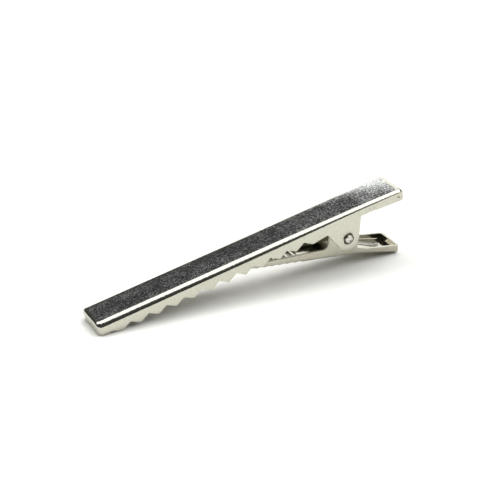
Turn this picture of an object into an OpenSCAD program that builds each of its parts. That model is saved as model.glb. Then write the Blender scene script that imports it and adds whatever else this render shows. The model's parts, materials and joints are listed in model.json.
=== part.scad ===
// Flat-top alligator hair clip: two sheet-steel pressings hinged on one pin and sprung shut.
// X runs from the nose to the finger end, Y runs across the clip and Z is up.
// The origin is on the table, under the middle of the closed clip's box.
// The clip lies shut: it stands on its nose and on the rear edge of its finger tray.

/* [Sheet] */
// Thickness of the steel sheet
sheet_t = 0.4; // [0.35:0.01:0.42]
// Outer radius of the folded edges
fold_r = 0.75; // [0.6:0.05:0.8]

/* [Top plate] */
// Length of the flat top plate
plate_len = 55.4; // [54:0.1:57]
// Width of the flat top plate
plate_w = 6.3; // [6:0.1:8]
// Slope of the top plate while the clip lies shut, in degrees
plate_tilt = 10.7; // [10.2:0.1:11.2]
// Depth of the nose wall below the top face
nose_depth = 1.98; // [1.98:0.01:2.2]
// Depth of the finger plate's rim at its rear end
tail_depth = 2.05; // [1.8:0.05:2.3]

/* [Coarse teeth] */
// Number of teeth along each long rim
teeth = 12; // [9:1:12]
// Distance from tooth to tooth
tooth_pitch = 3.067; // [3.04:0.001:3.07]
// Distance from the nose to the first tooth's tip
first_tooth = 3.8; // [3.7:0.05:3.9]
// Depth of the tips below the top face
tip_depth = 2.72; // [2.5:0.01:2.74]
// Depth of the roots below the top face
root_depth = 1.74; // [1.6:0.01:1.9]
// Radius of the tips and roots
tooth_r = 0.25; // [0.15:0.05:0.35]
// Flat stretch of the rim's lower edge before the slope of the first tooth
first_slope = 1.6; // [1.4:0.1:1.7]

/* [Finger rim] */
// Distance from the hinge back to the middle of the two pressed grooves
groove_back = 5.05; // [4.9:0.05:6]
// Distance between the two grooves
groove_gap = 0.9; // [0.7:0.1:1.2]
// Radius of each groove
groove_r = 0.15; // [0.1:0.05:0.2]
// Distance of the small corner holes from the finger end
relief_back = 1.4; // [0.95:0.05:1.5]
// Depth of the small corner holes below the top face
relief_depth = 1.24; // [1.1:0.02:1.4]
// Radius of the small corner holes
relief_r = 0.2; // [0.15:0.05:0.25]

/* [Hinge] */
// Distance from the nose to the hinge, along the top face
hinge_run = 43.9; // [43.7:0.1:44.2]
// Depth of the hinge below the top face
hinge_depth = 4.68; // [4.6:0.02:4.8]
// Radius of the top jaw's round ear ends
ear_r = 2; // [1.8:0.05:2.1]
// Distance from the hinge forward to the foot of the top jaw's ears
ear_foot_front = 3.55; // [3.4:0.05:3.7]
// Depth of the rim at that foot
ear_foot_front_depth = 2.38; // [2.2:0.02:2.6]
// Distance from the hinge back to the foot of the top jaw's ears
ear_foot_rear = 2.85; // [2.6:0.05:3.2]
// Depth of the rim at that foot
ear_foot_rear_depth = 1.58; // [1.5:0.02:1.8]
// Radius of the holes in the top jaw's ears
ear_hole_r = 1.1; // [1.05:0.05:1.25]
// Radial running clearance between an ear hole and the collar inside it
hinge_clearance = 0.05; // [0.03:0.01:0.08]
// Radius of the hinge pin
pin_r = 0.5; // [0.45:0.01:0.55]
// How far each pin end stands out of the top jaw's ears
pin_proud = 0.25; // [0.2:0.05:0.4]

/* [Bottom jaw] */
// Gap between the bottom jaw's sides and the top jaw's rims
side_gap = 0.1; // [0.08:0.01:0.15]
// Height from the hinge down to the heel, where the tray meets the tongue
heel_drop = 3.6; // [3.5:0.05:3.7]
// Distance from the hinge back to the heel
heel_back = 2.1; // [2:0.05:2.3]
// Slope of the tongue from the heel towards the nose, in degrees
tongue_rise = 6.4; // [6:0.1:6.6]
// Radius of the bend where the tongue turns along the top plate
elbow_r = 8; // [6:0.5:10]
// Gap between the shut tongue and the top plate
jaw_gap = 0.06; // [0.04:0.01:0.1]
// Distance from the nose to the tongue's tip, along the top plate
tip_run = 3; // [2.5:0.1:4]
// Width of the tongue's tip
tip_w = 3.6; // [3:0.1:4.2]
// Horizontal length of the finger tray behind the heel
tray_len = 8.2; // [7.8:0.1:8.3]
// Height of the tray's rear wall above the table
tray_wall = 1.42; // [1.2:0.02:1.6]

/* [Fine serrations] */
// Distance from ridge to ridge
ridge_pitch = 1.39; // [1.2:0.01:1.6]
// Height of a ridge
ridge_h = 0.24; // [0.15:0.01:0.28]
// Distance from the hinge forward to the rearmost ridge
ridge_start = 8.1; // [7.8:0.1:9]

/* [Spring] */
// Radius of the spring wire
wire_r = 0.3; // [0.25:0.01:0.32]
// Radius of the coil, to the middle of the wire
coil_r = 1.05; // [1:0.01:1.15]
// Whole turns in the coil
turns = 4; // [3:1:4]
// Distance from the hinge back to where each leg ends
leg_reach = 6.8; // [6:0.1:7]

/* [Hidden] */
$fn = 48;
arc_steps = 4;
steel = [0.74, 0.73, 0.7];
dark_steel = [0.5, 0.5, 0.5];

// The top face starts this far above the table, so that the nose wall's lower edge stands on it.
nose_z = nose_depth * cos(plate_tilt);

// A point in the closed clip's side view, from its run along the top face and its depth below that face
function on_plate(run, depth) = [
    run * cos(plate_tilt) + depth * sin(plate_tilt),
    nose_z + run * sin(plate_tilt) - depth * cos(plate_tilt)
];

hinge = on_plate(hinge_run, hinge_depth);
nose_x = fold_r * (cos(plate_tilt) + sin(plate_tilt) - 1);
tail_x = on_plate(plate_len, tail_depth)[0];
middle_x = (nose_x + tail_x) / 2;

jaw_w = plate_w - 2 * sheet_t - 2 * side_gap;
heel = [hinge[0] + heel_back, hinge[1] - heel_drop];
tray_end = heel[0] + tray_len;
tray_fall = atan(heel[1] / tray_len);

// ---- outlines ----

function unit(v) = v / norm(v);

// An arc of radius r that rounds the corner b between a and c
function round_corner(a, b, c, r) =
    let (u = unit(a - b))
    let (v = unit(c - b))
    let (half = acos(u * v) / 2)
    let (centre = b + unit(u + v) * r / sin(half))
    let (from = b + u * r / tan(half) - centre)
    let (to = b + v * r / tan(half) - centre)
    let (turn = atan2(from[0] * to[1] - from[1] * to[0], from * to))
    [for (i = [0 : arc_steps])
        let (a = turn * i / arc_steps)
        centre + [from[0] * cos(a) - from[1] * sin(a), from[0] * sin(a) + from[1] * cos(a)]];

// The outline through corners [x, z, radius], where a radius of 0 leaves the corner sharp
function outline(corners) =
    let (n = len(corners))
    let (at = function (i) [corners[(i + n) % n][0], corners[(i + n) % n][1]])
    [for (i = [0 : n - 1])
        for (p = corners[i][2] > 0 ? round_corner(at(i - 1), at(i), at(i + 1), corners[i][2]) : [at(i)])
            p];

// Where the line from p touches the circle about c, on the left (side 1) or the right (side -1) of p's view of c
function touch(p, c, r, side) =
    let (d = c - p)
    let (bearing = atan2(d[1], d[0]) + side * asin(r / norm(d)))
    c + r * [cos(bearing + side * 90), sin(bearing + side * 90)];

// Where the line through p at angle a crosses the line through q at angle b
function cross_at(p, a, q, b) =
    let (d = q - p)
    let (along = (d[0] * sin(b) - d[1] * cos(b)) / sin(b - a))
    p + along * [cos(a), sin(a)];

// Stands an XZ outline up and gives it a width across the clip
module across(width) {
    rotate([90, 0, 0]) linear_extrude(width, center = true) children();
}

// A stretch across the clip, centred on y
module at_side(y) {
    translate([0, y, 0]) children();
}

// Moves closed-clip coordinates, which start at the nose, to the part's origin
module placed() {
    translate([-middle_x, 0, 0]) children();
}

// ---- top jaw, drawn flat with its top face at z = 0 and its nose at x = 0 ----

// A block with rounded top edges and rounded upright corners, open for any depth below
module soft_block(length, width, r, depth) {
    translate([r, -width / 2 + r, -depth]) cube([length - 2 * r, width - 2 * r, depth]);
    translate([r, -width / 2, -depth]) cube([length - 2 * r, width, depth - r]);
    translate([0, -width / 2 + r, -depth]) cube([length, width - 2 * r, depth - r]);
    for (y = [-width / 2 + r, width / 2 - r]) {
        translate([r, y, -r]) rotate([0, 90, 0]) cylinder(r = r, h = length - 2 * r);
        for (x = [r, length - r]) {
            translate([x, y, -depth]) cylinder(r = r, h = depth - r);
            translate([x, y, -r]) sphere(r = r);
        }
    }
    for (x = [r, length - r])
        translate([x, -width / 2 + r, -r]) rotate([-90, 0, 0]) cylinder(r = r, h = width - 2 * r);
}

// The blank folded down all round, deep enough for the ears
module folded_sheet() {
    deep = hinge_depth + ear_r + 1;
    difference() {
        soft_block(plate_len, plate_w, fold_r, deep);
        translate([sheet_t, 0, -sheet_t])
            soft_block(plate_len - 2 * sheet_t, plate_w - 2 * sheet_t, fold_r - sheet_t, deep);
    }
}

// The jaw's side view: nose, teeth, ear and finger rim
module top_side_view() {
    pivot = [hinge_run, -hinge_depth];
    ear_front = [hinge_run - ear_foot_front, -ear_foot_front_depth];
    ear_rear = [hinge_run + ear_foot_rear, -ear_foot_rear_depth];
    front_touch = touch(ear_front, pivot, ear_r, -1);
    rear_touch = touch(ear_rear, pivot, ear_r, 1);
    tooth_corners = [for (i = [0 : teeth - 1])
        for (c = [
            [first_tooth + i * tooth_pitch, -tip_depth, tooth_r],
            if (i < teeth - 1) [first_tooth + (i + 0.5) * tooth_pitch, -root_depth, tooth_r]
        ]) c];
    corners = concat(
        [[-1, 1, 0], [-1, -nose_depth, 0], [first_tooth - first_slope, -nose_depth, tooth_r]],
        tooth_corners,
        [
            [ear_front[0], ear_front[1], 0.3],
            [front_touch[0], front_touch[1], 0],
            [pivot[0], pivot[1], 0],
            [rear_touch[0], rear_touch[1], 0],
            [ear_rear[0], ear_rear[1], 0.4],
            [plate_len + 1, -tail_depth, 0],
            [plate_len + 1, 1, 0]
        ]
    );
    polygon(outline(corners));
    translate(pivot) circle(ear_r);
}

// Two shallow grooves across each finger rim, just behind the ears
module rim_grooves() {
    middle = hinge_run + groove_back;
    for (x = [middle - groove_gap / 2, middle + groove_gap / 2], side = [-1, 1])
        translate([x, side * (plate_w + 0.1) / 2, -tail_depth - 1]) cylinder(r = groove_r, h = tail_depth);
}

// A hole of radius r right through both rims
module cross_hole(run, depth, r) {
    translate([run, 0, -depth]) rotate([90, 0, 0]) cylinder(r = r, h = plate_w + 2, center = true);
}

module top_jaw() {
    color(steel) placed() translate([0, 0, nose_z]) rotate([0, -plate_tilt, 0]) difference() {
        intersection() {
            folded_sheet();
            across(plate_w + 2) top_side_view();
        }
        cross_hole(hinge_run, hinge_depth, ear_hole_r);
        cross_hole(plate_len - relief_back, relief_depth, relief_r);
        rim_grooves();
    }
}

// ---- bottom jaw, drawn in closed-clip coordinates ----

// Depth of the tongue's lower face below the top face, in front of the elbow
front_depth = 2 * sheet_t + jaw_gap + ridge_h;
elbow = cross_at(on_plate(0, front_depth), plate_tilt, heel, -tongue_rise);
elbow_turn = plate_tilt + tongue_rise;
elbow_half = elbow_r * elbow_turn / 2 * PI / 180;
elbow_mid = (plate_tilt - tongue_rise) / 2;
elbow_centre = elbow - elbow_r / cos(elbow_turn / 2) * [-sin(elbow_mid), cos(elbow_mid)];
elbow_tangent = elbow_r * tan(elbow_turn / 2);
tongue_tip = elbow_tangent - elbow_half - norm(elbow - on_plate(tip_run, front_depth));
tongue_heel = norm(heel - elbow) - elbow_tangent + elbow_half;
ridge_end = tongue_heel - (heel_back + ridge_start) / cos(tongue_rise);

// A point at a run along the tongue's lower face, counted from the elbow, and a height above that face
function tongue_at(run, height) =
    let (bent = max(-elbow_half, min(elbow_half, run)))
    let (heading = elbow_mid - bent / elbow_r * 180 / PI)
    elbow_centre
        + (elbow_r + height) * [-sin(heading), cos(heading)]
        + (run - bent) * [cos(heading), sin(heading)];

// How far the sheet is pressed up between the ridges, whose sharp crests stay on the tongue's lower face
function ridge(run) = run > ridge_end ? 0 : ridge_h * abs(sin(180 * (run - ridge_end) / ridge_pitch));

// The sheet of the tongue and of the tray's floor and rear wall, seen from the side
module floor_side_view() {
    step = ridge_pitch / 4;
    runs = concat([for (run = [tongue_tip : step : ridge_end]) run], [ridge_end, tongue_heel]);
    wall_foot = sheet_t / cos(tray_fall);
    polygon(concat(
        [for (run = runs) tongue_at(run, ridge(run))],
        [
            [tray_end, 0],
            [tray_end, tray_wall],
            [tray_end - sheet_t, tray_wall],
            [tray_end - sheet_t, sheet_t * tan(tray_fall) + wall_foot]
        ],
        [for (i = [len(runs) - 1 : -1 : 0]) tongue_at(runs[i], sheet_t + ridge(runs[i]))]
    ));
}

// The channel's side wall: low along the tongue, raised into the inner ear, low again along the tray
module wall_side_view() {
    inside = sheet_t / 4;
    front = tongue_at(elbow_half + 1, sheet_t / 2);
    upper_edge = [
        [-18, -0.42, 1],     // crest of the low front wall
        [-3.7, -1.24, 0.9],  // front foot of the inner ear
        [-2.75, 1.9, 1],     // front shoulder of the inner ear
        [1.9, 2.2, 1.5],     // rear shoulder of the inner ear
        [2.1, -2.75, 0.9]    // rear foot of the inner ear
    ];
    polygon(outline(concat(
        [[front[0], front[1], 0]],
        [for (c = upper_edge) [hinge[0] + c[0], hinge[1] + c[1], c[2]]],
        [
            [tray_end, tray_wall, 0],
            [tray_end, inside, 0],
            [heel[0], heel[1] + inside, 0]
        ]
    )));
}

// The tongue narrows in front of its walls and ends in a rounded tip
module plan_view() {
    elbow_x = tongue_at(elbow_half, 0)[0];
    edge = [
        [tray_end, jaw_w / 2, 0.5],
        [elbow_x + 4, jaw_w / 2, 3],
        [elbow_x - 3, tip_w / 2 + 0.2, 3],
        [tongue_at(tongue_tip, 0)[0], tip_w / 2, 0.8]
    ];
    polygon(outline(concat(edge, [for (i = [len(edge) - 1 : -1 : 0]) [edge[i][0], -edge[i][1], edge[i][2]]])));
}

module bottom_jaw() {
    wall_y = jaw_w / 2 - sheet_t / 2;
    collar_r = ear_hole_r - hinge_clearance;
    collar_reach = plate_w / 2 - 0.1;
    bore_r = pin_r + 0.01;
    above_clip = 20;
    color(steel) placed() difference() {
        union() {
            intersection() {
                union() {
                    across(jaw_w) floor_side_view();
                    for (side = [-1, 1])
                        at_side(side * wall_y) across(sheet_t) wall_side_view();
                }
                translate([0, 0, -1]) linear_extrude(above_clip) plan_view();
            }
            for (side = [-1, 1])
                translate([hinge[0], side * (jaw_w / 2 - sheet_t), hinge[1]]) rotate([-side * 90, 0, 0])
                    cylinder(r = collar_r, h = collar_reach - jaw_w / 2 + sheet_t);
        }
        translate([hinge[0], 0, hinge[1]]) rotate([90, 0, 0])
            cylinder(r = bore_r, h = plate_w + 2, center = true);
    }
}

// ---- torsion spring ----

wire_sides = 8;
turn_steps = 20;
coil_gap = 0.04;
coil_pitch = 2 * wire_r + coil_gap;

// Leg ends: one lies on the tray's floor, the other presses up under the finger plate.
leg_x = hinge[0] + leg_reach;
leg_gap = 0.03;
leg_lift = sheet_t + wire_r + leg_gap;
tray_leg = [leg_x, heel[1] - (leg_x - heel[0]) * tan(tray_fall) + leg_lift / cos(tray_fall)];
plate_leg = [leg_x, nose_z + leg_x * tan(plate_tilt) - leg_lift / cos(plate_tilt)];
tray_touch = touch(tray_leg, hinge, coil_r, 1) - hinge;
plate_touch = touch(plate_leg, hinge, coil_r, -1) - hinge;
start_angle = atan2(tray_touch[1], tray_touch[0]);
end_angle = atan2(plate_touch[1], plate_touch[0]) - 360 * turns;
wind = end_angle - start_angle + (end_angle - start_angle > -360 * turns ? -360 : 0);
coil_len = coil_pitch * abs(wind) / 360;

// The middle of the wire: down the first leg, round the coil and out along the second leg
spring_route = concat(
    [[tray_leg[0], -coil_len / 2, tray_leg[1]]],
    [for (i = [0 : ceil(abs(wind) / 360 * turn_steps)])
        let (part = i / ceil(abs(wind) / 360 * turn_steps))
        let (a = start_angle + wind * part)
        [hinge[0] + coil_r * cos(a), coil_len * (part - 0.5), hinge[1] + coil_r * sin(a)]],
    [[plate_leg[0], coil_len / 2, plate_leg[1]]]
);

// A ring of points round the wire at one point of its route
function wire_ring(route, i) =
    let (last = len(route) - 1)
    let (along = unit(route[min(last, i + 1)] - route[max(0, i - 1)]))
    let (side = unit(cross(along, cross([0, 1, 0], along))))
    let (other = cross(along, side))
    [for (k = [0 : wire_sides - 1])
        let (a = 360 * k / wire_sides)
        route[i] + wire_r * (cos(a) * side + sin(a) * other)];

module torsion_spring() {
    rings = len(spring_route);
    points = [for (i = [0 : rings - 1]) each wire_ring(spring_route, i)];
    sides = [for (i = [0 : rings - 2], k = [0 : wire_sides - 1])
        let (next = (k + 1) % wire_sides)
        [i * wire_sides + k, (i + 1) * wire_sides + k, (i + 1) * wire_sides + next, i * wire_sides + next]];
    first_end = [for (k = [0 : wire_sides - 1]) k];
    last_end = [for (k = [wire_sides - 1 : -1 : 0]) (rings - 1) * wire_sides + k];
    color(dark_steel) placed() polyhedron(points, concat(sides, [first_end, last_end]));
}

// ---- hinge pin ----

module hinge_pin() {
    reach = plate_w / 2 + pin_proud;
    bevel = 0.12;
    color(dark_steel) placed() translate([hinge[0], 0, hinge[1]]) rotate([90, 0, 0]) rotate_extrude()
        polygon([
            [0, -reach],
            [pin_r - bevel, -reach],
            [pin_r, -reach + bevel],
            [pin_r, reach - bevel],
            [pin_r - bevel, reach],
            [0, reach]
        ]);
}

top_jaw();
bottom_jaw();
torsion_spring();
hinge_pin();
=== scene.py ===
"""Looks of the alligator hair clip: nickel-plated pressings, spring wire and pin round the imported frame."""

import json
import math
from collections import namedtuple

import bmesh
import bpy
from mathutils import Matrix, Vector

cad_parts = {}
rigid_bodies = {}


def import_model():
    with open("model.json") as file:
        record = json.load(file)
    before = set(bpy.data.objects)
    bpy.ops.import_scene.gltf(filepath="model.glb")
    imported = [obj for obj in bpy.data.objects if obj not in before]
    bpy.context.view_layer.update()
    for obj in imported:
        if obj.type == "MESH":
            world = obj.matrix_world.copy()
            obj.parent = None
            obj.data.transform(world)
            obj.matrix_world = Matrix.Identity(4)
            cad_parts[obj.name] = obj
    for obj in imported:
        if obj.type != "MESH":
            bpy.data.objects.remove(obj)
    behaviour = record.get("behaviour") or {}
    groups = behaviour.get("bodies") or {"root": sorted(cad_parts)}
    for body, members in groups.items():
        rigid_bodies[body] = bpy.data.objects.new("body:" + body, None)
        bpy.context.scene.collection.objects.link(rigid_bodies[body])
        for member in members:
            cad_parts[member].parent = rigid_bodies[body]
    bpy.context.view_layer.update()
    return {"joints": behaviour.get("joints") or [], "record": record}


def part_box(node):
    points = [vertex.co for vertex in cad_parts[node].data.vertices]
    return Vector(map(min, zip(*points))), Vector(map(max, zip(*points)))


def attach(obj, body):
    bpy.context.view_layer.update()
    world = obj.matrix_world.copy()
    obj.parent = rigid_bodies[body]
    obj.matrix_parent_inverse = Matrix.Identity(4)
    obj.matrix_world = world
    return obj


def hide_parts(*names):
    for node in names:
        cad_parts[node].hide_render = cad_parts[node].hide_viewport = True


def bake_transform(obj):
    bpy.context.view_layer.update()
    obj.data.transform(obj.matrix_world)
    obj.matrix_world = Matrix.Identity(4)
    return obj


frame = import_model()

# ---- driving dimensions, in millimetres ----

MM = 0.001

# Both pressings
SHEET = 0.4
EDGE_ROUND = 0.05
SIDE_GAP = 0.1

# Top plate: its length, the depth of its end walls and the radii of its folds.
# The side fold tightens between two shares of the length.
PLATE_LEN = 55.4
NOSE_DEPTH = 1.98
TAIL_DEPTH = 2.05
SIDE_FOLD = 0.95
REAR_FOLD = 0.7
FOLD_TIGHTENS = (0.5, 0.87)
NOSE_FOLD = 0.65
TAIL_FOLD = 1.3

# Upright corners of the top jaw, and the flat face's own small corner. NOSE_CORNER stays above
# NOSE_FOLD + FLAT_CORNER, or the flat face's rows fold back on themselves and the sheet bursts.
NOSE_CORNER = 0.8
TAIL_CORNER = 1.2
FLAT_CORNER = 0.05

# The flat face's crown, which grows between two shares of the length, and its droop at the finger end
CROWN = 0.01
FINGER_CROWN = 0.07
CROWN_GROWS = (0.5, 0.95)
FINGER_DROOP = 0.16
DROOP_START = 0.82

# Coarse teeth
TEETH = 12
TOOTH_PITCH = 3.067
FIRST_TOOTH = 3.8
FIRST_SLOPE = 1.6
TIP_DEPTH = 2.72
ROOT_DEPTH = 1.74
TOOTH_R = 0.25

# Ears of the top jaw. Each foot is its distance from the hinge, its depth and the radius of its bend.
HINGE_RUN = 43.9
EAR_R = 2.0
EAR_HOLE_R = 1.05
EAR_FOOT_FRONT = (3.55, 2.38, 0.3)
EAR_FOOT_REAR = (2.85, 1.58, 0.4)

# The two slanted grooves pressed into the finger rim, which fade in between two depths
GROOVES_BACK = (4.6, 5.5)
GROOVE_LEAN = 0.35
GROOVE_LEVEL = 1.5
GROOVE_WIDTH = 0.17
GROOVE_DEEPEST = 0.22
GROOVE_FADE = (1.0, 1.35)

# The small hole near the finger end, and how far the wall's patch round it reaches
RELIEF_RUN = 54.0
RELIEF_DEPTH = 1.24
RELIEF_R = 0.2
RELIEF_PATCH = 0.4

# Pin and collars
PIN_R = 0.5
PIN_HEAD_R = 0.63
PIN_CLEARANCE = 0.01
COLLAR_R = 0.62
HOLE_PATCH_FRONT = 2.1
HOLE_PATCH_REAR = 1.7

# Bottom jaw seen from the side. HEEL is its place from the hinge.
CHANNEL_FOLD = 0.5
TIP_RUN = 3.0
TONGUE_DEPTH = 1.1
TONGUE_SLOPE = math.radians(-6.4)
ELBOW_R = 8.0
HEEL = (2.1, -3.6)
HEEL_R = 4.0
TRAY_LEN = 8.2
TRAY_WALL = 1.42

# The channel wall starts behind the elbow with a low lip, and below LOW_WALL it leaves the ridges alone.
# The corners of its upper edge are each the distance behind the hinge, the height above it and the radius.
WALL_START = 0.5
WALL_LIP = 0.02
LOW_WALL = 0.05
WALL_CORNERS = [
    (-18, -0.42, 1),
    (-3.7, -1.24, 0.9),
    (-2.75, 1.9, 1),
    (1.9, 2.2, 1.5),
    (2.1, -2.75, 0.9),
]

# The tongue seen from above: half its width at the tip and the neck, and the neck's reach about the elbow
TIP_HALF = 1.8
TIP_R = 0.8
NECK_HALF = 2.0
NECK_RUN = 3

# Fine ridges across the tongue
RIDGE_PITCH = 1.39
RIDGE_H = 0.24
RIDGE_START = 8.1

# Spring
WIRE_R = 0.3
WIRE_END_R = 0.07
COIL_R = 1.05
COIL_TURNS = 4
COIL_PITCH = 0.64
LEG_REACH = 6.8
LEG_GAP = 0.03

# Fineness of the meshes
FOLD_STEPS = 8
WALL_STEPS = 8
CORNER_STEPS = 8
EAR_STEPS = 10
EAR_ROUND_STEPS = 32
RIM_STEPS = 120
FLOOR_STEPS = 16
RIDGE_STEPS = 8
HOLE_STEPS = 8
FAN_STEPS = 6
TOP_ACROSS = 12
BOTTOM_ACROSS = 10
TURNED_STEPS = 64
COIL_STEPS = 40
LEG_STEPS = 12
WIRE_SIDES = 14
HOLE_SHARES = (0, 0.4, 0.8, 1)
RELIEF_SHARES = (0, 0.6, 1)
CLOSEST_CUTS = 0.03
TINY = 1e-9

# Material slots of a pressing
EDGE_SLOT = 1
FACE_SLOT = 2

# ---- places taken from the frame ----

joint = frame["joints"][0]
face = frame["record"]["mounts"][0]
top_low, top_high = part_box("top_jaw")
pin_low, pin_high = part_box("hinge_pin")

HINGE = Vector(joint["pos_m"]) / MM
UP = Vector(face["axis"]).normalized()
ALONG = Vector((UP.z, 0, -UP.x))
TILT = math.asin(ALONG.z)
HINGE_DEPTH = (Vector(face["pos_m"]) / MM - HINGE).dot(UP)
NOSE = HINGE - ALONG * HINGE_RUN + UP * HINGE_DEPTH
PLATE_HALF = (top_high.y - top_low.y) / 2 / MM
NOSE_RUN = (top_low.x / MM - NOSE.x + NOSE_FOLD * (1 + UP.x)) / ALONG.x - NOSE_FOLD
TAIL_RUN = (top_high.x / MM - NOSE.x + UP.x * TAIL_DEPTH) / ALONG.x
JAW_HALF = PLATE_HALF - SHEET - SIDE_GAP
PIN_REACH = (pin_high.y - pin_low.y) / 2 / MM


def on_plate(run, across, depth):
    """A point of the top jaw, from its run along the top face, its place across and its depth."""
    return NOSE + ALONG * run + Vector((0, across, 0)) - UP * depth


# ---- outlines ----


def mix(a, b, share):
    """The value a share of the way from a to b."""
    return a + (b - a) * share


def smooth(value, low, high):
    """0 below low, 1 above high, and a smooth step between."""
    share = min(1.0, max(0.0, (value - low) / (high - low)))
    return share * share * (3 - 2 * share)


def arc_points(centre, radius, start, end, steps):
    """Points of an arc in a plane, from one angle to another."""
    angles = [mix(start, end, i / steps) for i in range(steps + 1)]
    return [centre + radius * Vector((math.cos(a), math.sin(a))) for a in angles]


def rounded_corner(a, b, c, radius, steps=6):
    """The arc that rounds the corner b between a and c."""
    u = (a - b).normalized()
    v = (c - b).normalized()
    half = u.angle(v) / 2
    centre = b + (u + v).normalized() * radius / math.sin(half)
    first = b + u * radius / math.tan(half) - centre
    last = b + v * radius / math.tan(half) - centre
    start = math.atan2(first.y, first.x)
    turn = first.angle_signed(last)
    return arc_points(centre, radius, start, start - turn, steps)


def rounded_line(corners):
    """The arcs of an open line's inner corners [x, y, radius], with its two ends as single points."""
    points = [Vector(c[:2]) for c in corners]
    arcs = [[points[0]]]
    for i in range(1, len(points) - 1):
        arcs.append(rounded_corner(points[i - 1], points[i], points[i + 1], corners[i][2]))
    return arcs + [[points[-1]]]


def touch(point, centre, radius, side):
    """Where the line from point touches a circle, on its left (1) or its right (-1)."""
    away = centre - point
    bearing = math.atan2(away.y, away.x) + side * math.asin(radius / away.length)
    turned = bearing + side * math.pi / 2
    return centre + radius * Vector((math.cos(turned), math.sin(turned)))


def line_height(line, x):
    """The height of an open line at x."""
    for a, b in zip(line, line[1:]):
        if x <= b.x + TINY:
            return mix(a.y, b.y, (x - a.x) / max(b.x - a.x, TINY))
    return line[-1].y


# ---- meshes ----


def link(name, mesh):
    """Puts a smooth-shaded mesh in the scene."""
    for polygon in mesh.polygons:
        polygon.use_smooth = True
    piece = bpy.data.objects.new(name, mesh)
    bpy.context.scene.collection.objects.link(piece)
    return piece


def to_piece(bm, name):
    """Turns a finished bmesh into a piece of the scene."""
    mesh = bpy.data.meshes.new(name)
    bm.to_mesh(mesh)
    bm.free()
    return link(name, mesh)


def soften(piece, width):
    """Rounds the sharp edges by a small width and keeps the flat faces flat in shading."""
    bevel = piece.modifiers.new("soft_edges", "BEVEL")
    bevel.width = width * MM
    bevel.segments = 2
    bevel.limit_method = "ANGLE"
    bevel.angle_limit = math.radians(50)
    bevel.use_clamp_overlap = True
    normals = piece.modifiers.new("flat_faces", "WEIGHTED_NORMAL")
    normals.keep_sharp = False


# ---- bent sheets ----

# One cut across a folded edge: where the flat face ends, the upright wall in plan,
# the depth that the fold reaches, and the wall's free edge.
Cut = namedtuple("Cut", "inner outer drop edge")


class Skin:
    """The outer face of a bent sheet. lift turns its own coordinates into a point of the scene."""

    def __init__(self, lift, bm=None):
        self.bm = bm or bmesh.new()
        self.lift = lift

    def quad(self, *corners, slot=0):
        quad = self.bm.faces.new([self.bm.verts.new(self.lift(*c)) for c in corners])
        quad.material_index = slot

    def grid(self, rows, slot=0):
        """Fills between neighbouring rows of points."""
        for a, b in zip(rows, rows[1:]):
            for i in range(len(a) - 1):
                self.quad(a[i], a[i + 1], b[i + 1], b[i], slot=slot)

    def ring_patch(self, border, centre, radius, shares):
        """Fills between a closed border in one upright plane and a round hole."""
        rows = []
        for share in shares:
            row = []
            for x, y, depth in border:
                away = Vector((x - centre[0], depth - centre[1]))
                rim = Vector(centre) + away.normalized() * radius
                row.append((mix(x, rim.x, share), y, mix(depth, rim.y, share)))
            rows.append(row + row[:1])
        self.grid(rows)

    def finish(self, name, outward):
        """Makes the skin a solid sheet with softened edges. outward is roughly its outer face's direction."""
        bm = self.bm
        bmesh.ops.remove_doubles(bm, verts=bm.verts, dist=2e-6)
        bmesh.ops.dissolve_degenerate(bm, edges=bm.edges, dist=1e-6)
        bmesh.ops.recalc_face_normals(bm, faces=bm.faces)
        largest = max(bm.faces, key=lambda f: abs(f.normal.dot(outward)) * f.calc_area())
        if largest.normal.dot(outward) < 0:
            bmesh.ops.reverse_faces(bm, faces=bm.faces)
        piece = to_piece(bm, name)
        solid = piece.modifiers.new("thickness", "SOLIDIFY")
        solid.thickness = SHEET * MM
        solid.offset = -1
        solid.use_even_offset = True
        solid.use_quality_normals = True
        solid.material_offset_rim = EDGE_SLOT
        soften(piece, EDGE_ROUND)
        return piece


def fold_row(cut, slope):
    """Points of the fold from the flat face, which meets it at a slope, down to the wall."""
    row = []
    for i in range(FOLD_STEPS + 1):
        angle = mix(slope, math.pi / 2, i / FOLD_STEPS)
        out = (math.sin(angle) - math.sin(slope)) / (1 - math.sin(slope))
        down = (math.cos(slope) - math.cos(angle)) / math.cos(slope)
        row.append((
            mix(cut.inner[0], cut.outer[0], out),
            mix(cut.inner[1], cut.outer[1], out),
            mix(cut.inner[2], cut.drop, down),
        ))
    return row


def wall_row(cut):
    """Points down the upright wall, from the end of the fold to the free edge."""
    top = Vector((*cut.outer, cut.drop))
    edge = Vector(cut.edge)
    return [tuple(top.lerp(edge, i / WALL_STEPS)) for i in range(WALL_STEPS + 1)]


def mirrored(cut):
    """The same cut on the other side of the clip."""
    inner, outer, drop, edge = cut
    return Cut((inner[0], -inner[1], inner[2]), (outer[0], -outer[1]), drop, (edge[0], -edge[1], edge[2]))


def on_side(cuts, side):
    """Cuts of the -Y side (-1), or their mirror images on the +Y side (1)."""
    return [mirrored(c) for c in cuts] if side > 0 else list(cuts)


# ---- top jaw, in run, place across and depth below its flat face ----

# The cuts along the side, from the nose to the tail. The ear and the relief hole are gaps in its wall.
Side = namedtuple("Side", "nose front ear rear relief tail")


def side_fold(run):
    """The side fold's radius, which is tighter at the finger end."""
    return mix(SIDE_FOLD, REAR_FOLD, smooth(run, *(share * PLATE_LEN for share in FOLD_TIGHTENS)))


def face_half(run):
    """Half the width of the flat face."""
    return PLATE_HALF - side_fold(run)


def crown_depth(run):
    """The crown's depth at the sides, which grows towards the finger end."""
    return mix(CROWN, FINGER_CROWN, smooth(run, *(share * PLATE_LEN for share in CROWN_GROWS)))


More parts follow.
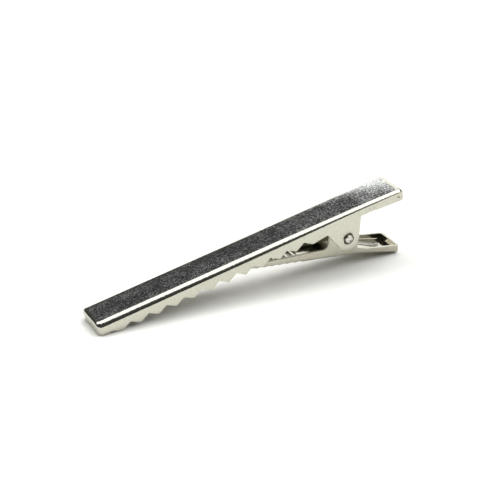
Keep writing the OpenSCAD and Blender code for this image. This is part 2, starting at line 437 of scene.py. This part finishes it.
def face_depth(run, across):
    """How far the face lies below the flat plane: a slight crown, and a slight droop at the finger end."""
    past_start = max(0.0, run / PLATE_LEN - DROOP_START)
    droop = FINGER_DROOP * past_start**2 / (1 - DROOP_START) ** 2
    return crown_depth(run) * (across / face_half(run)) ** 2 + droop


def crown_slope(run):
    """The slope at which the crowned face meets the side fold."""
    return math.atan(2 * crown_depth(run) / face_half(run))


def top_edge():
    """The side wall's free edge as (run, depth), in three parts: before the ear, the ear and behind it."""
    ear_front = Vector((HINGE_RUN - EAR_FOOT_FRONT[0], EAR_FOOT_FRONT[1]))
    ear_rear = Vector((HINGE_RUN + EAR_FOOT_REAR[0], EAR_FOOT_REAR[1]))
    pivot = Vector((HINGE_RUN, HINGE_DEPTH))
    front_touch = touch(ear_front, pivot, EAR_R, 1)
    rear_touch = touch(ear_rear, pivot, EAR_R, -1)
    corners = [(NOSE_RUN + NOSE_CORNER, NOSE_DEPTH, 0), (FIRST_TOOTH - FIRST_SLOPE, NOSE_DEPTH, TOOTH_R)]
    for i in range(TEETH):
        corners.append((FIRST_TOOTH + i * TOOTH_PITCH, TIP_DEPTH, TOOTH_R))
        if i < TEETH - 1:
            corners.append((FIRST_TOOTH + (i + 0.5) * TOOTH_PITCH, ROOT_DEPTH, TOOTH_R))
    corners.append((*ear_front, EAR_FOOT_FRONT[2]))
    front = rounded_line(corners + [(*front_touch, 0)])[:-1]
    tail = (TAIL_RUN - TAIL_CORNER, TAIL_DEPTH, 0)
    rear_line = rounded_line([(*rear_touch, 0), (*ear_rear, EAR_FOOT_REAR[2]), tail])[1]
    first = front_touch - pivot
    turn = first.angle_signed(rear_touch - pivot)
    start = math.atan2(first.y, first.x)
    round_end = arc_points(pivot, EAR_R, start, start - turn, EAR_ROUND_STEPS)
    front_line = [p for arc in front for p in arc]
    return front_line, [front_line[-1], *round_end, rear_line[0]], rear_line


def rim_depth(run, rear_line):
    """The rim's depth behind the ear: round the bend at the ear's foot, then straight to the tail."""
    bend_end = rear_line[-1]
    if run <= bend_end.x:
        return next(p.y for p in rear_line if p.x >= run - TINY)
    return mix(bend_end.y, TAIL_DEPTH, (run - bend_end.x) / (TAIL_RUN - TAIL_CORNER - bend_end.x))


def pressed(row):
    """A row of the side wall with the two slanted grooves pressed into it."""
    result = []
    for run, across, depth in row:
        offsets = [run - (HINGE_RUN + back) + GROOVE_LEAN * (depth - GROOVE_LEVEL) for back in GROOVES_BACK]
        share = sum(math.exp(-((offset / GROOVE_WIDTH) ** 2)) for offset in offsets)
        dent = GROOVE_DEEPEST * share * smooth(depth, *GROOVE_FADE)
        result.append((run, math.copysign(abs(across) - dent, across), depth))
    return result


def plate_cut(run, edge):
    """The cut across the side fold at a run. Its wall's free edge is at edge, a (run, depth)."""
    half = face_half(run)
    inner = (run, -half, face_depth(run, half))
    return Cut(inner, (run, -PLATE_HALF), side_fold(run), (edge[0], -PLATE_HALF, edge[1]))


def corner_cuts(wall_run, radius, fold, depth, direction):
    """Cuts round an upright corner, from the side to the end. direction is the run's, outward."""
    flat_run = wall_run - direction * (fold + FLAT_CORNER)
    side_drop = side_fold(wall_run)
    outer_centre = Vector((wall_run - direction * radius, radius - PLATE_HALF))
    inner_centre = Vector((flat_run, FLAT_CORNER - face_half(flat_run)))
    cuts = []
    for i in range(CORNER_STEPS + 1):
        angle = math.pi / 2 * i / CORNER_STEPS
        toward = Vector((direction * math.sin(angle), -math.cos(angle)))
        outer = outer_centre + radius * toward
        inner = inner_centre + FLAT_CORNER * toward
        drop = mix(side_drop, fold, smooth(i / CORNER_STEPS, 0, 1))
        cuts.append(Cut((*inner, face_depth(*inner)), tuple(outer), drop, (*outer, depth)))
    return cuts


def end_cuts(corner):
    """Cuts along an end of the top jaw, from its -Y corner to its +Y corner."""
    inner, outer, drop, edge = corner
    cuts = []
    for i in range(TOP_ACROSS + 1):
        share = 1 - 2 * i / TOP_ACROSS
        flat = (inner[0], inner[1] * share)
        wall = (outer[0], outer[1] * share)
        cuts.append(Cut((*flat, face_depth(*flat)), wall, drop, (edge[0], edge[1] * share, edge[2])))
    return cuts


def side_parts(nose_corner, tail_corner, ear_line, front_line, rear_line):
    """The cuts of the -Y side, split where its wall has a gap."""
    patch_start = RELIEF_RUN - RELIEF_PATCH
    patch_end = RELIEF_RUN + RELIEF_PATCH
    bend_end = rear_line[-1].x
    ear_runs = [mix(ear_line[0].x, ear_line[-1].x, i / EAR_STEPS) for i in range(1, EAR_STEPS)]
    rear_runs = [p.x for p in rear_line]
    rear_runs += [mix(bend_end, patch_start, i / RIM_STEPS) for i in range(1, RIM_STEPS + 1)]
    relief_runs = [mix(patch_start, TAIL_RUN - TAIL_CORNER, i / 3) for i in (1, 2)]
    relief = [plate_cut(run, (run, rim_depth(run, rear_line))) for run in relief_runs]
    return Side(
        nose=nose_corner[:0:-1],
        front=[plate_cut(p.x, p) for p in front_line],
        ear=[plate_cut(run, ear_line[0]) for run in ear_runs],
        rear=[plate_cut(run, (run, rim_depth(run, rear_line))) for run in rear_runs],
        relief=relief + [c for c in tail_corner if c.outer[0] < patch_end],
        tail=[c for c in tail_corner if c.outer[0] >= patch_end],
    )


def top_jaw_sheet():
    """The top jaw as one bent sheet: its flat face, its folds, its walls, and the patches round its holes."""
    skin = Skin(lambda run, across, depth: on_plate(run, across, depth) * MM)
    front_line, ear_line, rear_line = top_edge()
    nose_corner = corner_cuts(NOSE_RUN, NOSE_CORNER, NOSE_FOLD, NOSE_DEPTH, -1)
    tail_corner = corner_cuts(TAIL_RUN, TAIL_CORNER, TAIL_FOLD, TAIL_DEPTH, 1)
    parts = side_parts(nose_corner, tail_corner, ear_line, front_line, rear_line)

    for side in (-1, 1):
        nose, front, ear, rear, relief, tail = (on_side(cuts, side) for cuts in parts)
        whole = nose + front + ear + rear + relief + tail
        skin.grid([fold_row(c, crown_slope(c.inner[0])) for c in whole])
        for wall in (nose + front, rear, tail):
            skin.grid([pressed(wall_row(c)) for c in wall])

        round_edge = [(p.x, front[0].outer[1], p.y) for p in ear_line[1:-1]]
        border = wall_row(front[-1]) + round_edge + wall_row(rear[0])[::-1]
        border += [(*c.outer, c.drop) for c in ear[::-1]]
        skin.ring_patch(border, (HINGE_RUN, HINGE_DEPTH), EAR_HOLE_R, HOLE_SHARES)

        border = wall_row(rear[-1]) + [c.edge for c in relief] + wall_row(tail[0])[::-1]
        border += [(*c.outer, c.drop) for c in relief[::-1]]
        skin.ring_patch(border, (RELIEF_RUN, RELIEF_DEPTH), RELIEF_R, RELIEF_SHARES)

    for corner in (nose_corner[-1], tail_corner[-1]):
        end = end_cuts(corner)
        skin.grid([fold_row(c, 0) for c in end])
        skin.grid([wall_row(c) for c in end])

    rows = []
    for cut in (c for part in parts for c in part):
        run, across, _ = cut.inner
        places = [mix(across, -across, i / TOP_ACROSS) for i in range(TOP_ACROSS + 1)]
        rows.append([(run, place, face_depth(run, place)) for place in places])
    skin.grid(rows, slot=FACE_SLOT)
    return skin.finish("top_jaw_sheet", UP)


# ---- bottom jaw, in x, y and a height above its curved floor line ----


def tongue_line():
    """The floor's lower face seen from the side, as [x, z, radius]: tongue, elbow, heel and tray."""
    tip = on_plate(TIP_RUN, 0, TONGUE_DEPTH)
    heel = Vector((HINGE.x + HEEL[0], HINGE.z + HEEL[1]))
    start = Vector((tip.x, tip.z))
    along = Vector((math.cos(TILT), math.sin(TILT)))
    back = Vector((math.cos(TONGUE_SLOPE), math.sin(TONGUE_SLOPE)))
    away = heel - start
    reach = (away.x * back.y - away.y * back.x) / (along.x * back.y - along.y * back.x)
    elbow = start + along * reach
    end = heel + Vector((TRAY_LEN, -heel.y))
    return [(*start, 0), (*elbow, ELBOW_R), (*heel, HEEL_R), (*end, 0)]


def floor_arc(i):
    """The arc that rounds corner i of the floor line."""
    before, corner, after = (Vector(FLOOR[k][:2]) for k in (i - 1, i, i + 1))
    return rounded_corner(before, corner, after, FLOOR[i][2], FLOOR_STEPS)


FLOOR = tongue_line()
ELBOW_ARC = floor_arc(1)
HEEL_ARC = floor_arc(2)
FLOOR_LINE = [Vector(FLOOR[0][:2]), *ELBOW_ARC, *HEEL_ARC, Vector(FLOOR[3][:2])]
TIP_X = FLOOR_LINE[0].x
ELBOW_X = ELBOW_ARC[-1].x
TRAY_END = FLOOR_LINE[-1].x
RIDGE_END = HINGE.x - RIDGE_START
CORNER_X = TRAY_END - CHANNEL_FOLD


def jaw_edge():
    """The channel wall's upper edge as (x, z), from its front end to the tray's rear wall."""
    front_x = ELBOW_X + WALL_START
    corners = [(front_x, line_height(FLOOR_LINE, front_x) + WALL_LIP, 0)]
    corners += [(HINGE.x + back, HINGE.z + up, radius) for back, up, radius in WALL_CORNERS]
    corners.append((TRAY_END, TRAY_WALL, 0))
    return [p for arc in rounded_line(corners) for p in arc]


EDGE_LINE = jaw_edge()


def ridge(x):
    """How far the floor is pressed up between the ridges at x."""
    if x > RIDGE_END:
        return 0.0
    elbow_middle = ELBOW_ARC[FLOOR_STEPS // 2].x
    slope = 1.0 / math.cos(TILT if x < elbow_middle else TONGUE_SLOPE)
    return RIDGE_H * abs(math.sin(math.pi * (RIDGE_END - x) * slope / RIDGE_PITCH))


def flat_half(x):
    """Half the width of the floor's flat part: it narrows in front of the channel and has a rounded tip."""
    neck = ELBOW_X - NECK_RUN
    narrow = mix(TIP_HALF, NECK_HALF, smooth(x, TIP_X, neck))
    half = mix(narrow, JAW_HALF - CHANNEL_FOLD, smooth(x, neck, ELBOW_X + NECK_RUN))
    if x < TIP_X + TIP_R:
        half -= TIP_R - math.sqrt(max(0.0, TIP_R**2 - (TIP_X + TIP_R - x) ** 2))
    return half


def wall_height(x):
    """The height of the channel's wall above its floor."""
    if x <= EDGE_LINE[0].x:
        return 0.0
    return max(0.0, line_height(EDGE_LINE, x) - line_height(FLOOR_LINE, x))


def upright(foot, top):
    """Points up a wall, from the end of its fold to a height."""
    x, y, height = foot
    return [(x, y, mix(height, top, i / WALL_STEPS)) for i in range(WALL_STEPS + 1)]


def channel_rows(x):
    """The cut of the channel's -Y side at x: the fold's points, then the wall's. A low edge has no wall."""
    height = wall_height(x)
    reach = math.acos(max(0.0, 1 - height / CHANNEL_FOLD))
    fold = []
    for i in range(FOLD_STEPS + 1):
        angle = reach * i / FOLD_STEPS
        fade = math.cos(angle) ** 2 if height > LOW_WALL else 1
        fold.append((
            x,
            -flat_half(x) - CHANNEL_FOLD * math.sin(angle),
            CHANNEL_FOLD * (1 - math.cos(angle)) + ridge(x) * fade,
        ))
    return fold, upright(fold[-1], height) if height > CHANNEL_FOLD else []


def rear_rows(base, toward):
    """The cut of the tray's rear fold and wall, from a place on its floor in a direction in plan."""
    fold = []
    for i in range(FOLD_STEPS + 1):
        angle = math.pi / 2 * i / FOLD_STEPS
        out = CHANNEL_FOLD * math.sin(angle)
        up = CHANNEL_FOLD * (1 - math.cos(angle))
        fold.append((base[0] + toward[0] * out, base[1] + toward[1] * out, up))
    return fold, upright(fold[-1], TRAY_WALL - line_height(FLOOR_LINE, min(fold[-1][0], TRAY_END)))


def jaw_stations(hole_left, hole_right):
    """Where the bottom jaw is cut across, never closer together than the closest cuts allow."""
    fixed = (hole_left, hole_right, CORNER_X)
    ridge_cuts = RIDGE_STEPS * int((RIDGE_END - TIP_X - TIP_R) / RIDGE_PITCH)
    xs = {TIP_X + TIP_R * (1 - math.cos(math.pi / 2 * i / 6)) for i in range(7)}
    xs |= {RIDGE_END - RIDGE_PITCH / RIDGE_STEPS * i * math.cos(TONGUE_SLOPE) for i in range(ridge_cuts)}
    xs |= {p.x for p in EDGE_LINE if p.x < CORNER_X}
    xs |= {p.x for p in HEEL_ARC}
    xs |= {*fixed}
    xs |= {mix(hole_left, hole_right, i / HOLE_STEPS) for i in range(1, HOLE_STEPS)}
    ordered = sorted(xs)
    stations = [ordered[0]]
    for x in ordered[1:]:
        if x - stations[-1] > CLOSEST_CUTS:
            stations.append(x)
        elif x in fixed:
            stations[-1] = x
    return stations


def bottom_jaw_sheet():
    """The bottom jaw as one bent sheet: floor, channel walls, and the tray's rear corners and wall."""
    skin = Skin(lambda x, y, height: Vector((x, y, line_height(FLOOR_LINE, x) + height)) * MM)
    straight = Skin(lambda x, y, z: Vector((x, y, z)) * MM, skin.bm)
    hole_left = HINGE.x - HOLE_PATCH_FRONT
    hole_right = HINGE.x + HOLE_PATCH_REAR
    corner_y = JAW_HALF - CHANNEL_FOLD
    stations = jaw_stations(hole_left, hole_right)
    cuts = [channel_rows(x) for x in stations]

    rows = []
    for x in stations:
        half = flat_half(x)
        places = [mix(-half, half, j / BOTTOM_ACROSS) for j in range(BOTTOM_ACROSS + 1)]
        rows.append([(x, y, ridge(x)) for y in places])
    skin.grid(rows)

    for side in (-1, 1):
        folds = [[(x, y * -side, z) for x, y, z in fold] for fold, _ in cuts]
        walls = [[(x, y * -side, z) for x, y, z in wall] for _, wall in cuts if wall]
        in_front = [wall for wall in walls if wall[0][0] <= hole_left]
        between = [wall for wall in walls if hole_left < wall[0][0] < hole_right]
        behind = [wall for wall in walls if wall[0][0] >= hole_right]
        for part in (folds, in_front, behind):
            skin.grid(part)

        border = in_front[-1] + [wall[-1] for wall in between]
        border += behind[0][::-1] + [wall[0] for wall in between[::-1]]
        level = [(x, y, z + line_height(FLOOR_LINE, x)) for x, y, z in border]
        straight.ring_patch(level, (HINGE.x, HINGE.z), COLLAR_R, HOLE_SHARES)

        turns = [math.pi / 2 * i / FAN_STEPS for i in range(FAN_STEPS + 1)]
        fan = [rear_rows((CORNER_X, side * corner_y), (math.sin(a), side * math.cos(a))) for a in turns]
        skin.grid([fold for fold, _ in fan])
        skin.grid([wall for _, wall in fan])

    places = [mix(-corner_y, corner_y, j / BOTTOM_ACROSS) for j in range(BOTTOM_ACROSS + 1)]
    rear = [rear_rows((CORNER_X, y), (1, 0)) for y in places]
    skin.grid([fold for fold, _ in rear])
    skin.grid([wall for _, wall in rear])
    return skin.finish("bottom_jaw_sheet", Vector((0, 0, -1)))


# ---- turned and wound pieces ----


def turned(name, profile, direction):
    """A closed solid turned about the hinge's axis. The profile is (radius, reach) from end to end."""
    centre = Vector((HINGE.x, 0, HINGE.z))
    bm = bmesh.new()
    rings = []
    for radius, reach in profile:
        if radius == 0:
            rings.append([bm.verts.new((Vector((0, reach * direction, 0)) + centre) * MM)])
            continue
        ring = []
        for k in range(TURNED_STEPS):
            angle = 2 * math.pi * k / TURNED_STEPS
            spot = Vector((radius * math.cos(angle), reach * direction, radius * math.sin(angle)))
            ring.append(bm.verts.new((spot + centre) * MM))
        rings.append(ring)
    pairs = list(zip(rings, rings[1:]))
    if len(rings[0]) > 1:
        pairs.append((rings[-1], rings[0]))
    for a, b in pairs:
        for k in range(TURNED_STEPS):
            after = (k + 1) % TURNED_STEPS
            if len(a) == 1:
                bm.faces.new((a[0], b[after], b[k]))
            elif len(b) == 1:
                bm.faces.new((a[k], a[after], b[0]))
            else:
                bm.faces.new((a[k], a[after], b[after], b[k]))
    bmesh.ops.recalc_face_normals(bm, faces=bm.faces)
    return to_piece(bm, name)


def collar(side):
    """The collar drawn round the pin. Its root widens to the radius of the top jaw's ear hole."""
    base = JAW_HALF - SHEET
    bore = PIN_R + PIN_CLEARANCE
    fillet_r = EAR_HOLE_R - COLLAR_R
    root = JAW_HALF + fillet_r
    profile = [(COLLAR_R, base), (bore, base), (bore, PLATE_HALF), (COLLAR_R, PLATE_HALF), (COLLAR_R, root)]
    profile += [
        (EAR_HOLE_R - fillet_r * math.cos(a), root - fillet_r * math.sin(a))
        for a in (math.radians(d) for d in range(10, 91, 10))
    ]
    return turned("hinge_collar_left" if side > 0 else "hinge_collar_right", profile, side)


def pin():
    """The hinge pin. Each end is peened to a small round head with a ring groove and a flat middle."""
    disc_r = 0.34
    disc_drop = 0.02
    groove_r = 0.42
    groove_drop = 0.12
    round_r = 0.1
    undercut = 0.03
    seat = 0.02
    end = [(0, PIN_REACH - disc_drop), (disc_r, PIN_REACH - disc_drop), (groove_r, PIN_REACH - groove_drop)]
    end += [
        (PIN_HEAD_R - round_r + round_r * math.sin(a), PIN_REACH - round_r + round_r * math.cos(a))
        for a in (math.radians(d) for d in range(-60, 91, 15))
    ]
    end += [(PIN_HEAD_R - undercut, PLATE_HALF + seat), (PIN_R, PLATE_HALF)]
    return turned("hinge_pin_peened", end + [(radius, -reach) for radius, reach in end[::-1]], 1)


def spring_route():
    """The middle of the wire: up the tray's leg, round the coil and out along the plate's leg."""
    pivot = Vector((HINGE.x, HINGE.z))
    leg_x = HINGE.x + LEG_REACH
    lift = SHEET + WIRE_R + LEG_GAP
    fall = math.atan(FLOOR[2][1] / TRAY_LEN)
    tray_end = Vector((leg_x, line_height(FLOOR_LINE, leg_x) + lift / math.cos(fall)))
    under = on_plate(0, 0, lift)
    plate_end = Vector((leg_x, under.z + (leg_x - under.x) * math.tan(TILT)))
    tray_touch = touch(tray_end, pivot, COIL_R, 1) - pivot
    plate_touch = touch(plate_end, pivot, COIL_R, -1) - pivot
    start = math.atan2(tray_touch.y, tray_touch.x)
    wind = math.atan2(plate_touch.y, plate_touch.x) - 2 * math.pi * COIL_TURNS - start
    if wind > -2 * math.pi * COIL_TURNS:
        wind -= 2 * math.pi
    length = COIL_PITCH * abs(wind) / (2 * math.pi)
    steps = int(abs(wind) / (2 * math.pi) * COIL_STEPS)
    route = [Vector((tray_end.x, -length / 2, tray_end.y))]
    first = Vector((pivot.x + tray_touch.x, -length / 2, pivot.y + tray_touch.y))
    route += [route[0].lerp(first, i / LEG_STEPS) for i in range(1, LEG_STEPS)]
    for i in range(steps + 1):
        angle = start + wind * i / steps
        along = length * (i / steps - 0.5)
        route.append(Vector((pivot.x + COIL_R * math.cos(angle), along, pivot.y + COIL_R * math.sin(angle))))
    last = Vector((plate_end.x, length / 2, plate_end.y))
    route += [route[-1].lerp(last, i / LEG_STEPS) for i in range(1, LEG_STEPS + 1)]
    return route, length


def wire_rings(route):
    """Rings round the wire, each (middle, radius, two directions across). Its cut ends are rounded."""
    final = len(route) - 1
    indices = [0, *range(len(route)), final]
    rings = []
    for n, i in enumerate(indices):
        along = (route[min(final, i + 1)] - route[max(0, i - 1)]).normalized()
        across = along.cross(Vector((0, 1, 0)).cross(along)).normalized()
        middle = route[i]
        radius = WIRE_R
        if n in (0, len(indices) - 1):
            radius = WIRE_R - WIRE_END_R
        if n in (1, len(indices) - 2):
            middle = middle + along * (WIRE_END_R if n == 1 else -WIRE_END_R)
        rings.append((middle, radius, across, along.cross(across)))
    return rings


def spring():
    """The torsion spring as one tube, with rounded cut ends. Its two legs follow the two jaws."""
    route, length = spring_route()
    angles = [2 * math.pi * k / WIRE_SIDES for k in range(WIRE_SIDES)]
    bm = bmesh.new()
    rings = []
    for middle, radius, side, other in wire_rings(route):
        spots = [middle + radius * (math.cos(a) * side + math.sin(a) * other) for a in angles]
        rings.append([bm.verts.new(spot * MM) for spot in spots])
    for a, b in zip(rings, rings[1:]):
        for k in range(WIRE_SIDES):
            after = (k + 1) % WIRE_SIDES
            bm.faces.new((a[k], a[after], b[after], b[k]))
    bm.faces.new(rings[0][::-1])
    bm.faces.new(rings[-1])
    bmesh.ops.recalc_face_normals(bm, faces=bm.faces)
    piece = to_piece(bm, "torsion_spring_wire")
    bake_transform(piece)
    return piece


# ---- materials ----


class Nodes:
    """Short calls for building a shader."""

    def __init__(self, tree):
        self.tree = tree
        tree.nodes.clear()

    def add(self, kind, inputs=None, **settings):
        node = self.tree.nodes.new(kind)
        for key, value in settings.items():
            setattr(node, key, value)
        for key, value in (inputs or {}).items():
            socket = node.inputs[key]
            if isinstance(value, bpy.types.NodeSocket):
                self.tree.links.new(value, socket)
            else:
                socket.default_value = value
        return node

    def math(self, operation, *values):
        inputs = dict(enumerate(values))
        return self.add("ShaderNodeMath", inputs, operation=operation).outputs[0]

    def ramp(self, value, low, high, to_low=0.0, to_high=1.0):
        inputs = {"Value": value, "From Min": low, "From Max": high, "To Min": to_low, "To Max": to_high}
        return self.add("ShaderNodeMapRange", inputs, interpolation_type="SMOOTHSTEP").outputs[0]

    def noise(self, vector, scale, detail=2.0, rough=0.5):
        inputs = {"Vector": vector, "Scale": scale, "Detail": detail, "Roughness": rough}
        return self.add("ShaderNodeTexNoise", inputs).outputs[0]


# The mottle is mostly fine grain, with some of a cloud this many times larger.
CLOUD_SIZE = 8
CLOUD_SHARE = 0.25
# The mottle's values between which the tint and the gloss change
TINT_RANGE = (0.4, 0.62)
GLOSS_RANGE = (0.42, 0.62)
# Draw lines along the wire: how many to a metre, and how much longer they are than wide
DRAW_LINES = 9000.0
DRAW_STRETCH = (0.05, 1.0, 1.0)


def nickel(name, bright, dull, gloss, peel, peel_size, grain_size, streak=0.0):
    """Nickel plating: two tints and uneven gloss in fine grains, orange peel and optional draw lines."""
    material = bpy.data.materials.new(name)
    material.use_nodes = True
    n = Nodes(material.node_tree)
    place = n.add("ShaderNodeTexCoord").outputs["Object"]
    grain = n.noise(place, 1 / (grain_size * MM), 3.0, 0.6)
    cloud = n.noise(place, 1 / (CLOUD_SIZE * grain_size * MM), 2.0)
    mottle = n.math("MULTIPLY_ADD", cloud, CLOUD_SHARE, n.math("MULTIPLY", grain, 1 - CLOUD_SHARE))
    tint = n.add("ShaderNodeMix", {"Factor": n.ramp(mottle, *TINT_RANGE)}, data_type="RGBA")
    tint.inputs["A"].default_value = (*bright, 1)
    tint.inputs["B"].default_value = (*dull, 1)
    roughness = n.ramp(mottle, *GLOSS_RANGE, *gloss)
    height = n.noise(place, 1.0 / (peel_size * MM), 2.0, 0.55)
    if streak:
        stretched = n.add("ShaderNodeMapping", {"Vector": place, "Scale": DRAW_STRETCH}).outputs[0]
        height = n.math("MULTIPLY_ADD", n.noise(stretched, DRAW_LINES, 2.0), streak, height)
    bump = n.add("ShaderNodeBump", {"Height": height, "Strength": 1.0, "Distance": peel * MM}).outputs[0]
    shader = n.add("ShaderNodeBsdfPrincipled", {
        "Base Color": tint.outputs["Result"],
        "Metallic": 1.0,
        "Roughness": roughness,
        "Normal": bump,
    })
    n.add("ShaderNodeOutputMaterial", {"Surface": shader.outputs[0]})
    return material


# ---- studio, in metres ----

VIEW_AZIMUTH = math.radians(-28.48)
VIEW_ELEVATION = math.radians(28.97)
VIEW_DISTANCE = 0.23583
VIEW_TARGET = Vector((-0.00045, 0, 0.005))
LENS = 108
SENSOR = 36
SHIFT_X = 0.008
SHIFT_Y = 0.0153
NEAR_CLIP = 0.01

FLOOR_SIZE = 3.0
FLOOR_DROP = 1e-5
FLOOR_COLOR = (0.95, 0.95, 0.92, 1)

# The surroundings that the metal mirrors: dim, with four bright areas. Each area has a strength and
# the planes that bound it, as (direction, start, softness), and lies past all of them. The areas were
# fitted to the photograph's reflections, so they suit its camera; other views get reflections of their own.
BEHIND = Vector((-math.sin(VIEW_AZIMUTH), math.cos(VIEW_AZIMUTH), 0))
REAR_LEAN = math.radians(39)
REAR_LIMIT = -BEHIND * math.cos(REAR_LEAN) + Vector((0, 0, math.sin(REAR_LEAN)))
DIM = 0.065
OVERHEAD = (2.3, [((0.854, 0.387, 0.347), 0.25, 0.05), ((0, 0, 1), 0.45, 0.08), (REAR_LIMIT, 0.0, 0.1)])
HIGH_PANEL = (3.5, [((-0.35, 0.45, 0.82), 0.94, 0.02)])
FAR_PANEL = (
    1.6,
    [((0.764, -0.407, -0.502), -0.335, 0.015), ((0, 1, 0), 0.0, 0.05), ((-1, 0, 0), -0.75, 0.06)],
)
NEAR_PANEL = (0.8, [((0.94, 0.342, 0), 0.0, 0.03), ((0, 0, -1), -0.292, 0.03), ((0, -1, 0), 0.0, 0.05)])


def camera():
    """The camera at the photograph's viewing angle."""
    data = bpy.data.cameras.new("camera")
    data.lens = LENS
    data.sensor_width = SENSOR
    data.shift_x = SHIFT_X
    data.shift_y = SHIFT_Y
    data.clip_start = NEAR_CLIP
    viewer = bpy.data.objects.new("camera", data)
    bpy.context.scene.collection.objects.link(viewer)
    back = -BEHIND * math.cos(VIEW_ELEVATION) + Vector((0, 0, math.sin(VIEW_ELEVATION)))
    viewer.location = VIEW_TARGET + back * VIEW_DISTANCE
    viewer.rotation_mode = "QUATERNION"
    viewer.rotation_quaternion = (-back).to_track_quat("-Z", "Y")
    bpy.context.scene.camera = viewer


def floor():
    """The plain pale table, just under the clip."""
    bm = bmesh.new()
    bmesh.ops.create_grid(bm, x_segments=8, y_segments=8, size=FLOOR_SIZE)
    ground = to_piece(bm, "floor")
    ground.location.z = -FLOOR_DROP
    material = bpy.data.materials.new("white_table")
    material.use_nodes = True
    n = Nodes(material.node_tree)
    shader = n.add("ShaderNodeBsdfDiffuse", {"Color": FLOOR_COLOR})
    n.add("ShaderNodeOutputMaterial", {"Surface": shader.outputs[0]})
    ground.data.materials.append(material)


def studio_light():
    """The dim surroundings and their bright areas. The camera itself sees plain white beyond the floor."""
    world = bpy.data.worlds.new("studio")
    bpy.context.scene.world = world
    world.use_nodes = True
    n = Nodes(world.node_tree)
    direction = n.add("ShaderNodeTexCoord").outputs["Generated"]
    level = DIM
    for strength, planes in (OVERHEAD, HIGH_PANEL, FAR_PANEL, NEAR_PANEL):
        inside = 1.0
        for normal, start, soft in planes:
            sockets = {0: direction, 1: normal}
            along = n.add("ShaderNodeVectorMath", sockets, operation="DOT_PRODUCT").outputs["Value"]
            inside = n.math("MULTIPLY", inside, n.ramp(along, start - soft, start + soft))
        level = n.math("MULTIPLY_ADD", inside, strength, level)
    seen = n.add("ShaderNodeLightPath").outputs["Is Camera Ray"]
    sockets = {"Factor": seen, "A": level, "B": 1.0}
    level = n.add("ShaderNodeMix", sockets, data_type="FLOAT").outputs["Result"]
    shader = n.add("ShaderNodeBackground", {"Color": (1, 1, 1, 1), "Strength": level})
    n.add("ShaderNodeOutputWorld", {"Surface": shader.outputs[0]})
    bpy.context.scene.view_settings.view_transform = "Standard"


# ---- the whole clip ----

camera()
floor()
studio_light()

sheet = nickel("nickel_sheet", bright=(0.54, 0.53, 0.455), dull=(0.5, 0.49, 0.415), gloss=(0.07, 0.14),
               peel=0.015, peel_size=0.5, grain_size=0.4)
face_plating = nickel("nickel_face", bright=(0.38, 0.39, 0.375), dull=(0.9, 0.92, 0.9), gloss=(0.12, 0.18),
                      peel=0.007, peel_size=0.4, grain_size=0.3)
cut_edge = nickel("sheared_edge", bright=(0.5, 0.48, 0.41), dull=(0.42, 0.4, 0.34), gloss=(0.2, 0.4),
                  peel=0.02, peel_size=0.1, grain_size=0.2)
# Painted shade: the bottom jaw gets a darker copy of the same nickel plating. The darkening stands in for the
# shadowed floor that its walls mirror; it is not a different finish.
shaded_lower_sheet = nickel("nickel_lower_painted_shade", bright=(0.445, 0.43, 0.355), dull=(0.4, 0.385, 0.315),
                     gloss=(0.08, 0.16), peel=0.015, peel_size=0.5, grain_size=0.4)
wire = nickel("spring_wire", bright=(0.62, 0.6, 0.56), dull=(0.52, 0.5, 0.46), gloss=(0.15, 0.25),
              peel=0.004, peel_size=0.2, grain_size=0.3, streak=0.6)
turned_steel = nickel("pin_steel", bright=(0.7, 0.69, 0.64), dull=(0.62, 0.61, 0.56), gloss=(0.12, 0.3),
                      peel=0.006, peel_size=0.12, grain_size=0.2)

LOWER = joint["parent"]
UPPER = joint["child"]

top = top_jaw_sheet()
bottom = bottom_jaw_sheet()
for piece, body, node, materials in (
    (top, UPPER, "top_jaw", (sheet, cut_edge, face_plating)),
    # the bottom jaw wears the darker copy of the plating, which is painted shade
    (bottom, LOWER, "bottom_jaw", (shaded_lower_sheet, cut_edge)),
):
    for material in materials:
        piece.data.materials.append(material)
    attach(piece, body)
    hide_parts(node)

for side in (-1, 1):
    ring = collar(side)
    ring.data.materials.append(sheet)
    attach(ring, LOWER)

axle = pin()
axle.data.materials.append(turned_steel)
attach(axle, LOWER)
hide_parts("hinge_pin")

coil = spring()
coil.data.materials.append(wire)
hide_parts("torsion_spring")
